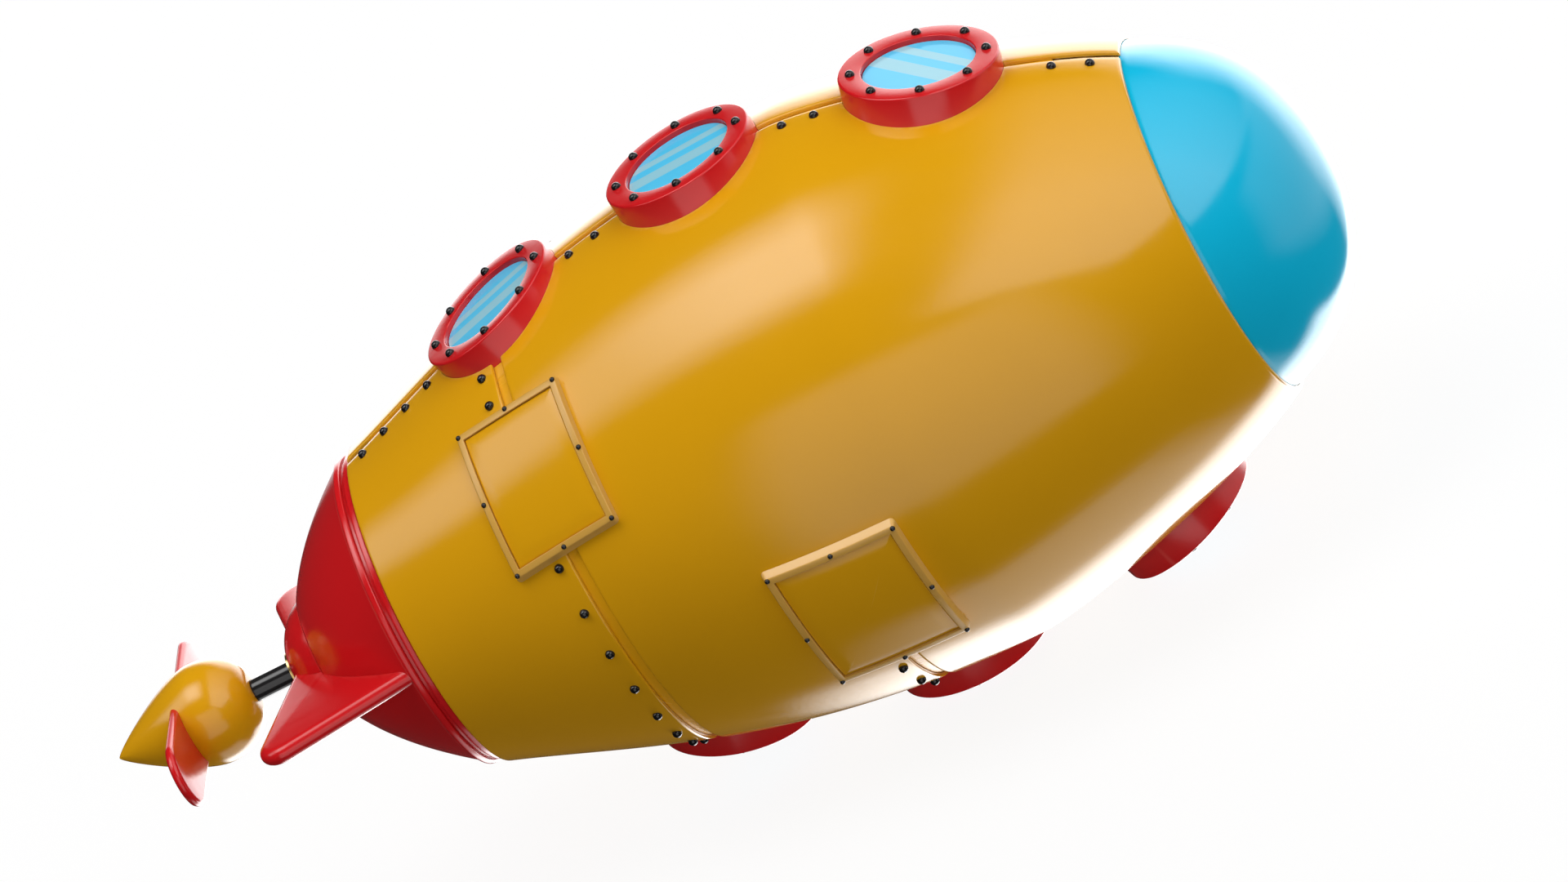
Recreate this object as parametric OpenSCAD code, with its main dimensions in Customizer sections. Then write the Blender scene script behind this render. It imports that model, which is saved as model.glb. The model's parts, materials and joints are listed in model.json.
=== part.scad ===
// Tin space rocket: a clockwork toy with an egg-shaped riveted hull, portholes, fins and a propeller.
// The hull's axis runs along X with the nose towards +X. One row of portholes faces up, the other down.
// Every module is drawn about the hull's axis with X = 0 at the hull's aft rim, and placed() moves it.

/* [Hull] */
// Length of the hull from its aft rim to its nose rim
hull_length = 160; // [150:5:170]
// Largest outer radius of the hull
hull_radius = 54.1; // [53.1:0.5:55.6]
// Outer radius at the aft rim
aft_rim_radius = 32.1; // [31.1:0.5:33.1]
// Outer radius at the nose rim
nose_rim_radius = 35.5; // [35:0.5:37]
// Thickness of the tin sheet
sheet = 0.8; // [0.6:0.1:0.9]
// Width of the open seams between hull plates
seam_width = 2; // [1.6:0.2:2.4]

/* [Nose] */
// How far the blue dome stands ahead of the nose rim
nose_length = 23.4; // [20:1:26]

/* [Portholes] */
// Outer radius of a porthole ring
ring_radius = 14.8; // [14:0.2:15]
// Radius of the opening in a porthole ring
ring_opening = 10.5; // [9.5:0.25:10.5]
// How deep a ring reaches below its face
ring_depth = 7; // [6.5:0.5:8]

/* [Access panels] */
// How far a panel frame stands above the hull
panel_height = 1.6; // [1.2:0.2:2]
// Width of a panel frame's ledge
panel_ledge = 1.7; // [1.4:0.1:2]

/* [Rivets] */
// Radius of a seam rivet's head
seam_rivet_radius = 0.9; // [0.8:0.05:1.1]
// Radius of a porthole rivet's head
ring_rivet_radius = 0.9; // [0.8:0.05:1.1]
// Radius of an access panel rivet's head
panel_rivet_radius = 0.5; // [0.45:0.05:0.6]

/* [Tail] */
// Thickness of a fin
fin_thickness = 3.4; // [2.6:0.2:4]
// Turn of the fins and of the propeller's blades from the level plane
fin_turn = 3; // [0:1:6]
// Reach of a fin's tip from the hull's axis
fin_reach = 37.2; // [36:0.4:40]

/* [Propeller] */
// Radius of the propeller shaft
shaft_radius = 2.15; // [2:0.05:2.3]
// Largest radius of the propeller hub
hub_radius = 9.8; // [9.4:0.2:10.4]
// Reach of a blade's tip from the shaft's axis
blade_reach = 29.2; // [26:0.4:30]
// Width of a blade
blade_width = 12.5; // [12:0.5:14]
// Thickness of a blade
blade_thickness = 1.8; // [1.4:0.2:2]

/* [Clockwork] */
// Gear module of the clockwork
gear_module = 0.6; // [0.55:0.05:0.6]
// Teeth on each of the two pinions
pinion_teeth = 12; // [12:1:13]
// Teeth on the idler wheel
idler_teeth = 40; // [38:2:40]
// Teeth on the great wheel
great_teeth = 48; // [46:2:48]

/* [Hidden] */
$fn = 96;

// Clearances
seat_gap = 0.05;      // between two pieces that are fixed to each other
running_gap = 0.05;   // radial, between a journal and its bearing
cover_gap = 0.3;      // around a panel's cover, inside its frame

// Hull outline: two curves that meet where the hull is widest
widest_x = 0.615 * hull_length;
aft_curve = [
    [0, aft_rim_radius],
    [0.153 * hull_length, aft_rim_radius + 0.0525 * hull_length],
    [0.314 * hull_length, hull_radius],
    [widest_x, hull_radius]
];
fore_curve = [
    [widest_x, hull_radius],
    [0.666 * hull_length, hull_radius],
    [0.894 * hull_length, nose_rim_radius + 0.0623 * hull_length],
    [hull_length, nose_rim_radius]
];
curve_steps = 10;

// Bulge of the blue dome and of the red tail
dome_rim_radius = nose_rim_radius - sheet - 0.12;
dome_curve = [
    [hull_length, dome_rim_radius],
    [hull_length + 0.72 * nose_length, dome_rim_radius - 6],
    [hull_length + nose_length, 0.46 * dome_rim_radius],
    [hull_length + nose_length, 0]
];
flange_length = 3.4;
flange_radius = aft_rim_radius - 0.9;
tail_end_x = -21.5;
tail_end_radius = 12.6;
tail_curve = [
    [-flange_length - seat_gap, flange_radius - 0.7],
    [-9.4, 26.2],
    [-16.6, 20.4],
    [tail_end_x, tail_end_radius]
];
tail_sheet = 1.2 * sheet;
cap_radius = 12.7;
cap_centre_x = -16.5;
cap_wall = 1.5;
bush_radius = 3.6;
bush_flange = 5.4;

// A fin, in the plane of X and its reach from the axis: swept back from the flange, with a round tip
fin_tip = 4.6;
fin_tip_x = -29.6;
fin_tip_reach = fin_reach - fin_tip;
fin_outline = [
    [-5, 30.2],
    [fin_tip_x + fin_tip * sin(20), fin_tip_reach + fin_tip * cos(20)],
    [fin_tip_x, fin_tip_reach],
    [fin_tip_x - fin_tip * cos(8), fin_tip_reach - fin_tip * sin(8)],
    [-32.6, 17],
    [-28.3, 5.6],
    [-16, 5.6],
    [-4.4, 26]
];

// Backing strips behind the seams
strip_half_width = ring_radius + 2.6;
strip_start_x = 5.5;
strip_end_x = hull_length - 11;
girdle_half_width = 4.6;
seam_x = 0.231 * hull_length;
short_seam_x = 0.499 * hull_length;

// Portholes: station, height of the ring's face above the axis, lean of the face towards the nose
portholes = [
    [0.2356 * hull_length, hull_radius - 6.2, -15.7],
    [0.51 * hull_length, hull_radius + 2.5, -2],
    [0.8004 * hull_length, hull_radius - 2.5, 16.6]
];
row_angles = [90, 270];
ring_rivets = 8;
ring_rivet_circle = ring_opening + 0.45 * (ring_radius - ring_opening);
glass_thickness = 1.4;
glass_recess = 1;
glass_radius = ring_opening - seat_gap;
glass_seat = 0.9;     // how far the ring's lip reaches in under the glass

// Access panels on the -Y side: station, angle about the axis, length, width. The +Y side mirrors them.
panels = [
    [0.228 * hull_length, 141.6, 24.2, 29.4],
    [0.496 * hull_length, 198.8, 26.6, 31.6]
];

// Rivet heads are balls whose middle stands above the sheet by a share of their radius.
// Their shanks are half as thick as the heads, and grip the sheet and the strip behind it.
rivet_rise = 0.1;
shank_share = 0.5;
seam_grip = 2 * sheet + 0.4;
rivet_lift = 0.02;    // between a head and the sheet under it
rivet_offset = 3.6;   // from the middle of a seam to its rivets
row_rivet_x = [4.4, 10, 15.7, 21.3, 56.1, 62, 101.5, 107.5, 149, 155.3];
girdle_rivet_angles = [111, 119.6, 163, 175.2, 187.4, 199.6, 211.8, 224, 236.2, 248.4];
short_rivet_angles = [221.8, 233.3, 244.8];
short_seam_start = 205;

// Propeller
hub_widest_x = -46.6;
hub_tip_x = -65.6;
hub_front_x = -37.2;
blade_x = -50.6;
shaft_start_x = -61;
hub_tip_curve = [
    [hub_tip_x, 0],
    [hub_tip_x, 1],
    [hub_widest_x - 5.5, hub_radius],
    [hub_widest_x, hub_radius]
];
hub_front_curve = [
    [hub_widest_x, hub_radius],
    [hub_widest_x + 5.2, hub_radius],
    [hub_front_x, 6.4],
    [hub_front_x, shaft_radius + 0.6]
];

// Clockwork, between the bulkhead and the fore plate
bulkhead_x = 69;
fore_plate_x = 99.5;
plate_thickness = 1.2;
arbor_overhang = 0.8;
mesh_slack = 0.08;    // added to each centre distance
pressure_angle = 20;
backlash = 0.14;      // share of a tooth's width that is left out
screw_radius = 1;
screw_head = 1.9;
idler_direction = -30;
shaft_to_idler = gear_module * (pinion_teeth + idler_teeth) / 2 + mesh_slack;
idler_to_great = gear_module * (pinion_teeth + great_teeth) / 2 + mesh_slack;
idler_y = shaft_to_idler * cos(idler_direction);
idler_z = shaft_to_idler * sin(idler_direction);
great_z = idler_z - sqrt(idler_to_great * idler_to_great - idler_y * idler_y);
great_direction = atan2(great_z - idler_z, -idler_y);
idler_radius = 1.3;
great_arbor_radius = 2.5;
first_mesh_x = 72.5;
second_mesh_x = 78.6;
wheel_thickness = 2;
pinion_length = 4;
spring_x = 84.5;
spring_width = 13;
spring_strip = 0.7;
spring_turns = 7;
spring_inner = great_arbor_radius + 0.9;
spring_outer = 15.4;
pillar_radius = 2.4;
pillar_circle = 28;
frame_centre = [2, -12];
frame_radius = 33;

// Holes in the bulkhead that lighten it: sideways, up, radius
bulkhead_holes = [[-26, 26, 12], [26, 26, 12], [0, 33, 9]];

// Placing: the origin goes under the middle of the rocket, level with the rivets that it rests on
rest_height = portholes[1][1] + sin(abs(portholes[1][2])) * ring_rivet_circle
    + ring_rivet_radius * (1 + rivet_rise) + rivet_lift;
middle_x = (hull_length + nose_length + hub_tip_x) / 2;

module placed() {
    translate([-middle_x, 0, rest_height]) children();
}

// ---- Outlines ----

function bezier_point(c, t) =
    pow(1 - t, 3) * c[0] + 3 * pow(1 - t, 2) * t * c[1] + 3 * (1 - t) * t * t * c[2] + t * t * t * c[3];
function bezier(c, steps) = [for (i = [0 : steps]) bezier_point(c, i / steps)];
function without_first(list) = [for (i = [1 : len(list) - 1]) list[i]];
function backwards(list) = [for (i = [len(list) - 1 : -1 : 0]) list[i]];
function raised(outline, by) = [for (p = outline) [p[0], p[1] + by]];

hull_outline = concat(bezier(aft_curve, curve_steps), without_first(bezier(fore_curve, curve_steps)));
dome_outline = bezier(dome_curve, 12);
tail_outline = bezier(tail_curve, 8);
hub_outline = concat(bezier(hub_tip_curve, 10), without_first(bezier(hub_front_curve, 8)));

// Hull radius and slope at a station
function hull_at(x) = lookup(x, hull_outline);
function hull_slope(x) = (hull_at(x + 1) - hull_at(x - 1)) / 2;

// The hull's outline between two stations
function hull_between(x0, x1) = concat(
    [[x0, hull_at(x0)]],
    [for (p = hull_outline) if (p[0] > x0 + 0.01 && p[0] < x1 - 0.01) p],
    [[x1, hull_at(x1)]]
);

// Turns an outline of [x, radius] points into a solid about the X axis.
// Angles run from +Y towards +Z.
module revolve(outline, start = 0, angle = 360) {
    rotate([90, 0, 90])
        rotate_extrude(angle = angle, start = start)
            polygon([for (p = outline) [p[1], p[0]]]);
}

// A shell that follows the hull between two stations, from one height above its outer surface to another
module hull_shell(x0, x1, low, high, start = 0, angle = 360) {
    path = hull_between(x0, x1);
    revolve(concat(raised(path, high), backwards(raised(path, low))), start, angle);
}

// A plain tube or rod about the X axis
module rod(x0, x1, radius, bore = 0) {
    translate([x0, 0, 0])
        rotate([0, 90, 0])
            difference() {
                cylinder(h = x1 - x0, r = radius);
                if (bore > 0)
                    translate([0, 0, -1])
                        cylinder(h = x1 - x0 + 2, r = bore);
            }
}

// ---- Placing on the hull ----

// Local +Z points away from the axis at the given station and angle
module outward(x, angle) {
    translate([x, 0, 0]) rotate([angle - 90, 0, 0]) children();
}

// On the hull's surface, square to it
module on_surface(x, angle, above = 0) {
    outward(x, angle)
        translate([0, 0, hull_at(x) + above])
            rotate([0, -atan(hull_slope(x)), 0])
                children();
}

// On the face of a porthole ring
module on_porthole(p, angle) {
    outward(p[0], angle) translate([0, 0, p[1]]) rotate([0, p[2], 0]) children();
}

// Draws its children and their mirror image on the other side
module both_sides() {
    children();
    mirror([0, 1, 0]) children();
}

// ---- Rivets ----

module rivet(radius, grip) {
    shank = radius * shank_share;
    rotate_extrude($fn = 24)
        polygon(concat(
            [[0, -grip], [shank, -grip], [shank, 0], [radius * sqrt(1 - rivet_rise * rivet_rise), 0]],
            [for (a = [0 : 15 : 90]) [radius * cos(a), radius * (rivet_rise + sin(a))]]
        ));
}

module rivet_hole(radius, grip) {
    translate([0, 0, -grip - 1])
        cylinder(h = grip + 3, r = radius * shank_share + 0.03, $fn = 24);
}

// Angle from the seam at the top or bottom to a rivet beside it
function beside_seam(x) = asin(rivet_offset / hull_at(x));

// Places its children at the rivets beside the seams of the porthole rows, which are on the -Y side only
module at_row_rivets() {
    for (x = row_rivet_x)
        for (angle = row_angles)
            on_surface(x, angle + (angle < 180 ? 1 : -1) * beside_seam(x)) children();
}

// Places its children at the rivets beside the seams that run round the -Y side
module at_round_rivets() {
    for (angle = girdle_rivet_angles)
        on_surface(seam_x - rivet_offset, angle) children();
    for (angle = short_rivet_angles)
        on_surface(short_seam_x - rivet_offset + 0.6, angle) children();
}

module at_seam_rivets() {
    at_row_rivets() children();
    both_sides() at_round_rivets() children();
}

module seam_rivets() {
    color("black") placed()
        at_seam_rivets()
            translate([0, 0, rivet_lift]) rivet(seam_rivet_radius, seam_grip);
}

module seam_rivet_holes() {
    at_seam_rivets()
        rivet_hole(seam_rivet_radius, seam_grip);
}

// ---- Hull ----

// Room for the porthole rings, wider by extra and reaching below them.
// Each is turned so that the line where its wall closes lies clear of the seam along the hull.
module porthole_cuts(extra, below = 4) {
    for (p = portholes)
        for (angle = row_angles)
            on_porthole(p, angle)
                rotate([0, 0, 45])
                    translate([0, 0, -ring_depth - below])
                        cylinder(h = ring_depth + below + 4, r = ring_radius + extra);
}

// The open seams along the top and bottom
module row_seams() {
    translate([-10, -seam_width / 2, -100])
        cube([hull_length + 20, seam_width, 200]);
}

// The short seams that run from the fore panels down to the lower row
module short_seams() {
    both_sides()
        hull_shell(short_seam_x - seam_width / 2, short_seam_x + seam_width / 2,
                   -2, 2, short_seam_start, 275 - short_seam_start);
}

// One quarter of the hull's skin. side is -1 for the -Y half
module hull_plate(x0, x1, side) {
    color("goldenrod") placed()
        difference() {
            hull_shell(x0, x1, -sheet, 0, side < 0 ? 90 : -90, 180);
            row_seams();
            short_seams();
            porthole_cuts(seat_gap);
            seam_rivet_holes();
        }
}

module plate_aft_right() hull_plate(0, seam_x - seam_width / 2, -1);
module plate_aft_left() hull_plate(0, seam_x - seam_width / 2, 1);
module plate_fore_right() hull_plate(seam_x + seam_width / 2, hull_length, -1);
module plate_fore_left() hull_plate(seam_x + seam_width / 2, hull_length, 1);

// Behind the seam of one porthole row
module row_strip(angle) {
    color("darkgoldenrod") placed()
        difference() {
            intersection() {
                hull_shell(strip_start_x, strip_end_x,
                           -2 * sheet - seat_gap, -sheet - seat_gap, angle - 40, 80);
                translate([-1, -strip_half_width, -100])
                    cube([hull_length + 2, 2 * strip_half_width, 200]);
            }
            porthole_cuts(seat_gap);
            seam_rivet_holes();
        }
}

module strip_top() row_strip(row_angles[0]);
module strip_bottom() row_strip(row_angles[1]);

// Behind a seam that runs round the hull on one side, clear of the row strips
module girdle(x, start, angle, side) {
    color("darkgoldenrod") placed()
        difference() {
            mirror([0, side < 0 ? 0 : 1, 0])
                hull_shell(x - girdle_half_width, x + girdle_half_width,
                           -2 * sheet - seat_gap, -sheet - seat_gap, start, angle);
            translate([-1, -strip_half_width - seat_gap, -100])
                cube([hull_length + 2, 2 * (strip_half_width + seat_gap), 200]);
            seam_rivet_holes();
        }
}

module girdle_right() girdle(seam_x, 90, 180, -1);
module girdle_left() girdle(seam_x, 90, 180, 1);
module short_girdle_right() girdle(short_seam_x, short_seam_start - 2, 66, -1);
module short_girdle_left() girdle(short_seam_x, short_seam_start - 2, 66, 1);

// ---- Nose ----

// Holds the dome inside the nose rim
module nose_collar() {
    seat = strip_end_x + 0.5;
    front = hull_length - 0.3;
    lip = 31;
    path = hull_between(seat, front);
    color("silver") placed()
        difference() {
            revolve(concat(
                raised(path, -sheet - seat_gap),
                [[front, lip], [front - sheet, lip]],
                [[front - sheet, hull_at(front) - 2 * sheet - 0.3]],
                [[seat, hull_at(seat) - 2 * sheet - seat_gap]]
            ));
            seam_rivet_holes();
        }
}

module nose_dome() {
    thinner = 0.6 * sheet / nose_length;
    inner = [
        for (p = dome_outline)
            [p[0] - thinner * (p[0] - hull_length) - 0.001, max(0, p[1] - sheet)]
    ];
    start = [[hull_length - 2, 0], [hull_length - 2, inner[0][1]]];
    color("deepskyblue") placed()
        difference() {
            revolve(concat([[hull_length, 0]], dome_outline));
            translate([-sheet, 0, 0]) revolve(concat(start, inner));
        }
}

// ---- Portholes ----

module porthole_ring(index, angle) {
    p = portholes[index];
    wall = sheet;
    bevel = 0.4;
    seat = glass_recess + glass_thickness + seat_gap;
    color("crimson") placed()
        on_porthole(p, angle)
            difference() {
                rotate_extrude()
                    polygon([
                        [ring_opening, 0],
                        [ring_radius - bevel, 0],
                        [ring_radius, -bevel],
                        [ring_radius, -ring_depth],
                        [ring_radius - wall, -ring_depth],
                        [ring_radius - wall, -wall],
                        [ring_opening + wall, -wall],
                        [ring_opening + wall, -seat - wall],
                        [ring_opening - glass_seat, -seat - wall],
                        [ring_opening - glass_seat, -seat],
                        [ring_opening, -seat]
                    ]);
                round_ring() rivet_hole(ring_rivet_radius, wall + 0.6);
            }
}

module porthole_glass(index, angle) {
    color("skyblue") placed()
        on_porthole(portholes[index], angle)
            translate([0, 0, -glass_recess - glass_thickness])
                cylinder(h = glass_thickness, r = glass_radius);
}

module ring_aft_top() porthole_ring(0, 90);
module ring_mid_top() porthole_ring(1, 90);
module ring_fore_top() porthole_ring(2, 90);
module ring_aft_bottom() porthole_ring(0, 270);
module ring_mid_bottom() porthole_ring(1, 270);
module ring_fore_bottom() porthole_ring(2, 270);
module glass_aft_top() porthole_glass(0, 90);
module glass_mid_top() porthole_glass(1, 90);
module glass_fore_top() porthole_glass(2, 90);
module glass_aft_bottom() porthole_glass(0, 270);
module glass_mid_bottom() porthole_glass(1, 270);
module glass_fore_bottom() porthole_glass(2, 270);

// Places its children round a ring's face
module round_ring() {
    for (i = [0 : ring_rivets - 1])
        rotate(i * 360 / ring_rivets + 45)
            translate([ring_rivet_circle, 0, 0])
                children();
}

module ring_rivet_set(index, angle) {
    on_porthole(portholes[index], angle)
        round_ring()
            translate([0, 0, rivet_lift]) rivet(ring_rivet_radius, sheet + 0.4);
}

module porthole_rivets() {
    color("black") placed()
        for (index = [0 : 2])
            for (angle = row_angles)
                if (index != 1 || angle != row_angles[1])
                    ring_rivet_set(index, angle);
}

// The rivets that the rocket lies on
module resting_rivets() {
    color("black") placed() ring_rivet_set(1, row_angles[1]);
}

// ---- Access panels ----

// The part of a shell above the hull that lies inside a rectangle square to the surface
module panel_block(p, inset, low, high) {
    length = p[2] - 2 * inset;
    width = p[3] - 2 * inset;
    intersection() {
        hull_shell(p[0] - 20, p[0] + 20, low, high, p[1] - 30, 60);
        on_surface(p[0], p[1])
            translate([-length / 2, -width / 2, -12])
                cube([length, width, 24]);
    }
}

// Places its children at a panel's four corners and four mid-edges, on top of its frame
module at_panel_rivets(p) {
    along = p[2] / 2 - panel_ledge / 2;
    across = p[3] / 2 - panel_ledge / 2;
    for (i = [-1 : 1])
        for (j = [-1 : 1])
            if (i != 0 || j != 0)
                on_panel_edge(p, i * along, j * across) children();
}

// A point of the frame's top, given along and across the panel
module on_panel_edge(p, along, across) {
    lean = atan(hull_slope(p[0]));
    x = p[0] + along * cos(lean);
    turn = asin(across / (hull_at(x) + panel_height));
    outward(x, p[1] + turn)
        translate([0, 0, hull_at(x) + panel_height])
            rotate([0, -lean, 0])
                children();
}

module panel_frame(index, side) {
    p = panels[index];
    color("goldenrod") placed()
        mirror([0, side < 0 ? 0 : 1, 0])
            difference() {
                panel_block(p, 0, seat_gap, panel_height);
                panel_block(p, panel_ledge, -1, panel_height + 1);
                at_panel_rivets(p) rivet_hole(panel_rivet_radius, 1);
                seam_rivet_clearance();
            }
}

// Room under a frame for the heads of the seam rivets beside it
module seam_rivet_clearance() {
    at_seam_rivets()
        translate([0, 0, -0.5])
            cylinder(h = 2.5, r = seam_rivet_radius + 0.15, $fn = 24);
}

module panel_cover(index, side) {
    p = panels[index];
    color("gold") placed()
        mirror([0, side < 0 ? 0 : 1, 0])
            panel_block(p, panel_ledge + cover_gap, seat_gap, panel_height - 0.4);
}

module frame_aft_right() panel_frame(0, -1);
module frame_fore_right() panel_frame(1, -1);
module frame_aft_left() panel_frame(0, 1);
module frame_fore_left() panel_frame(1, 1);
module cover_aft_right() panel_cover(0, -1);
module cover_fore_right() panel_cover(1, -1);
module cover_aft_left() panel_cover(0, 1);
module cover_fore_left() panel_cover(1, 1);

module panel_rivets() {
    color("black") placed()
        both_sides()
            for (p = panels)
                at_panel_rivets(p)
                    translate([0, 0, 2 * rivet_lift]) rivet(panel_rivet_radius, 0.9);
}

// ---- Tail ----

// Double-lipped ring that plugs the hull's aft rim and carries the tail dome
module tail_flange() {
    lip = 1.4;
    spigot = 4.6;
    groove = 0.9;
    inner = 23;
    path = hull_between(0.3, spigot);
    color("crimson") placed()
        difference() {
            revolve(concat(
                [
                    [-seat_gap, inner],
                    [-flange_length, inner],
                    [-flange_length, flange_radius - 0.3],
                    [-flange_length + 0.3, flange_radius],
                    [-flange_length + lip, flange_radius],
                    [-flange_length + lip, flange_radius - groove],
                    [-lip, flange_radius - groove],
                    [-lip, flange_radius],
                    [-seat_gap, flange_radius],
                    [-seat_gap, hull_at(0) - 2 * sheet]
                ],
                raised(path, -sheet - seat_gap),
                [[spigot, hull_at(spigot) - 2 * sheet], [sheet, hull_at(0) - 3 * sheet], [sheet, inner]]
            ));
            seam_rivet_holes();
        }
}

module tail_dome() {
    color("crimson") placed()
        revolve(concat(tail_outline, backwards(raised(tail_outline, -tail_sheet))));
}

// Everything inside the tail dome and cap, with a little clearance, to trim what is fixed to them
module tail_core(extra) {
    revolve(concat([[5, 0], [5, flange_radius]], raised(tail_outline, extra), [[tail_end_x, 0]]));
    translate([cap_centre_x, 0, 0]) sphere(r = cap_radius + extra);
}

module tail_cap() {
    base = tail_end_x - seat_gap;
    color("crimson") placed()
        difference() {
            translate([cap_centre_x, 0, 0]) sphere(r = cap_radius);
            translate([cap_centre_x, 0, 0]) sphere(r = cap_radius - cap_wall);
            translate([base, -50, -50]) cube([100, 100, 100]);
            rod(-40, 0, bush_radius + seat_gap);
        }
}

module stern_bush() {
    front = -19;
    back = cap_centre_x - cap_radius;
    color("silver") placed()
        difference() {
            union() {
                rod(back + 0.2, front, bush_radius);
                rod(-25.6, -24.6, bush_flange);
            }
            rod(-60, 0, shaft_radius + running_gap);
        }
}

module fin_shape() {
    polygon(fin_outline);
    translate([fin_tip_x, fin_tip_reach]) circle(r = fin_tip);
}

module fin(side) {
    color("crimson") placed()
        difference() {
            rotate([90 - fin_turn + (side < 0 ? 0 : 180), 0, 0])
                rotate([90, 0, 0])
                    translate([0, 0, -fin_thickness / 2])
                        linear_extrude(fin_thickness) mirror([0, 1]) fin_shape();
            tail_core(seat_gap);
        }
}

module fin_right() fin(-1);
module fin_left() fin(1);

// ---- Propeller ----

module blade_strip(extra) {
    radius = blade_width / 2;
    reach = blade_reach - radius;
    rotate([-fin_turn, 0, 0])
        translate([blade_x - blade_thickness / 2 - extra, 0, 0])
            rotate([90, 0, 90])
                linear_extrude(blade_thickness + 2 * extra) {
                    square([2 * reach, blade_width + 2 * extra], center = true);
                    for (side = [-1, 1])
                        translate([side * reach, 0]) circle(r = radius + extra);
                }
}

module prop_hub() {
    color("goldenrod") placed()
        difference() {
            revolve(concat(hub_outline, [[hub_front_x, 0]]));
            blade_strip(seat_gap);
            rod(shaft_start_x - 0.2, 0, shaft_radius + 0.01);
        }
}

module blade_pair() {
    color("crimson") placed()
        difference() {
            blade_strip(0);
            rod(-80, 0, shaft_radius + 0.01);
        }
}

module prop_shaft() {
    color("black") placed()
        rod(shaft_start_x, fore_plate_x + plate_thickness + arbor_overhang, shaft_radius);
}

// ---- Clockwork ----

function involute(angle) = tan(angle) * 180 / PI - angle;

// One tooth's half angle at a radius
function half_tooth(teeth, radius) =
    let (base = gear_module * teeth / 2 * cos(pressure_angle))
    90 / teeth * (1 - backlash) + involute(pressure_angle) - involute(acos(min(1, base / radius)));

module gear(teeth, thickness, bore, phase) {
    pitch = gear_module * teeth / 2;
    base = pitch * cos(pressure_angle);
    root = pitch - 1.3 * gear_module;
    tip = pitch + 0.8 * gear_module;
    start = max(root + 0.05, base);
    radii = [root, start, (start + tip) / 2, tip];
    rotate([90, 0, 90])
        rotate(phase)
            linear_extrude(thickness)
                difference() {
                    polygon([
                        for (k = [0 : teeth - 1])
                            let (middle = k * 360 / teeth)
                            for (j = [-3 : 3])
                                if (j != 0)
                                    let (r = j < 0 ? radii[j + 3] : radii[4 - j],
                                         turn = sign(j) * half_tooth(teeth, max(r, start)))
                                    [r * cos(middle + turn), r * sin(middle + turn)]
                    ]);
                    circle(r = bore);
                }
}

module on_idler() translate([0, idler_y, idler_z]) children();
module on_great() translate([0, 0, great_z]) children();

module arbor(radius) {
    rod(bulkhead_x - arbor_overhang, fore_plate_x + plate_thickness + arbor_overhang, radius);
}

module shaft_pinion() {
    color("silver") placed()
        translate([first_mesh_x, 0, 0])
            gear(pinion_teeth, pinion_length, shaft_radius + 0.01, idler_direction);
}

module idler_arbor() {
    color("silver") placed() on_idler() arbor(idler_radius);
}

module idler_wheel() {
    color("gold") placed() on_idler()
        translate([first_mesh_x + 1, 0, 0])
            gear(idler_teeth, wheel_thickness, idler_radius + 0.01,
                 idler_direction + 180 + 180 / idler_teeth);
}

module idler_pinion() {
    color("silver") placed() on_idler()
        translate([second_mesh_x, 0, 0])
            gear(pinion_teeth, pinion_length, idler_radius + 0.01, great_direction);
}

module great_arbor() {
    color("silver") placed() on_great() arbor(great_arbor_radius);
}

module great_wheel() {
    color("gold") placed() on_great()
        translate([second_mesh_x + 1, 0, 0])
            gear(great_teeth, wheel_thickness, great_arbor_radius + 0.01,
                 great_direction + 180 + 180 / great_teeth);
}

// A flat spiral strip wound round the great arbor
function spiral(from, to, turns, steps) = [
    for (i = [0 : steps])
        let (a = i * turns * 360 / steps, r = from + (to - from) * i / steps)
        [r * cos(a), r * sin(a)]
];

module mainspring() {
    steps = spring_turns * 20;
    inner = spiral(spring_inner, spring_outer - spring_strip, spring_turns, steps);
    outer = spiral(spring_inner + spring_strip, spring_outer, spring_turns, steps);
    color("dimgray") placed() on_great()
        translate([spring_x, 0, 0])
            rotate([90, 0, 90])
                linear_extrude(spring_width)
                    polygon(concat(inner, backwards(outer)));
}

module pillar_places() {
    for (a = [45 : 90 : 315])
        translate([0, frame_centre[0] + pillar_circle * cos(a), frame_centre[1] + pillar_circle * sin(a)])
            children();
}

// Bearing and screw holes that both plates share
module frame_holes(x) {
    rod(x - 1, x + plate_thickness + 1, shaft_radius + running_gap);
    on_idler() rod(x - 1, x + plate_thickness + 1, idler_radius + running_gap);
    on_great() rod(x - 1, x + plate_thickness + 1, great_arbor_radius + running_gap);
    pillar_places() rod(x - 1, x + plate_thickness + 1, screw_radius + seat_gap);
}

module bulkhead() {
    radius = hull_at(bulkhead_x) - 2 * sheet - 2 * seat_gap;
    color("silver") placed()
        difference() {
            rod(bulkhead_x, bulkhead_x + plate_thickness, radius);
            frame_holes(bulkhead_x);
            for (hole = bulkhead_holes)
                translate([0, hole[0], hole[1]])
                    rod(bulkhead_x - 1, bulkhead_x + plate_thickness + 1, hole[2]);
            porthole_cuts(0.5, 1);
        }
}

module fore_plate() {
    color("silver") placed()
        difference() {
            translate([0, frame_centre[0], frame_centre[1]])
                rod(fore_plate_x, fore_plate_x + plate_thickness, frame_radius);
            frame_holes(fore_plate_x);
        }
}

module pillars() {
    from = bulkhead_x + plate_thickness + seat_gap;
    color("silver") placed()
        pillar_places()
            difference() {
                rod(from, fore_plate_x - seat_gap, pillar_radius);
                rod(from - 1, from + 5, screw_radius + 0.01);
                rod(fore_plate_x - 5, fore_plate_x + 1, screw_radius + 0.01);
            }
}

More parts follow.
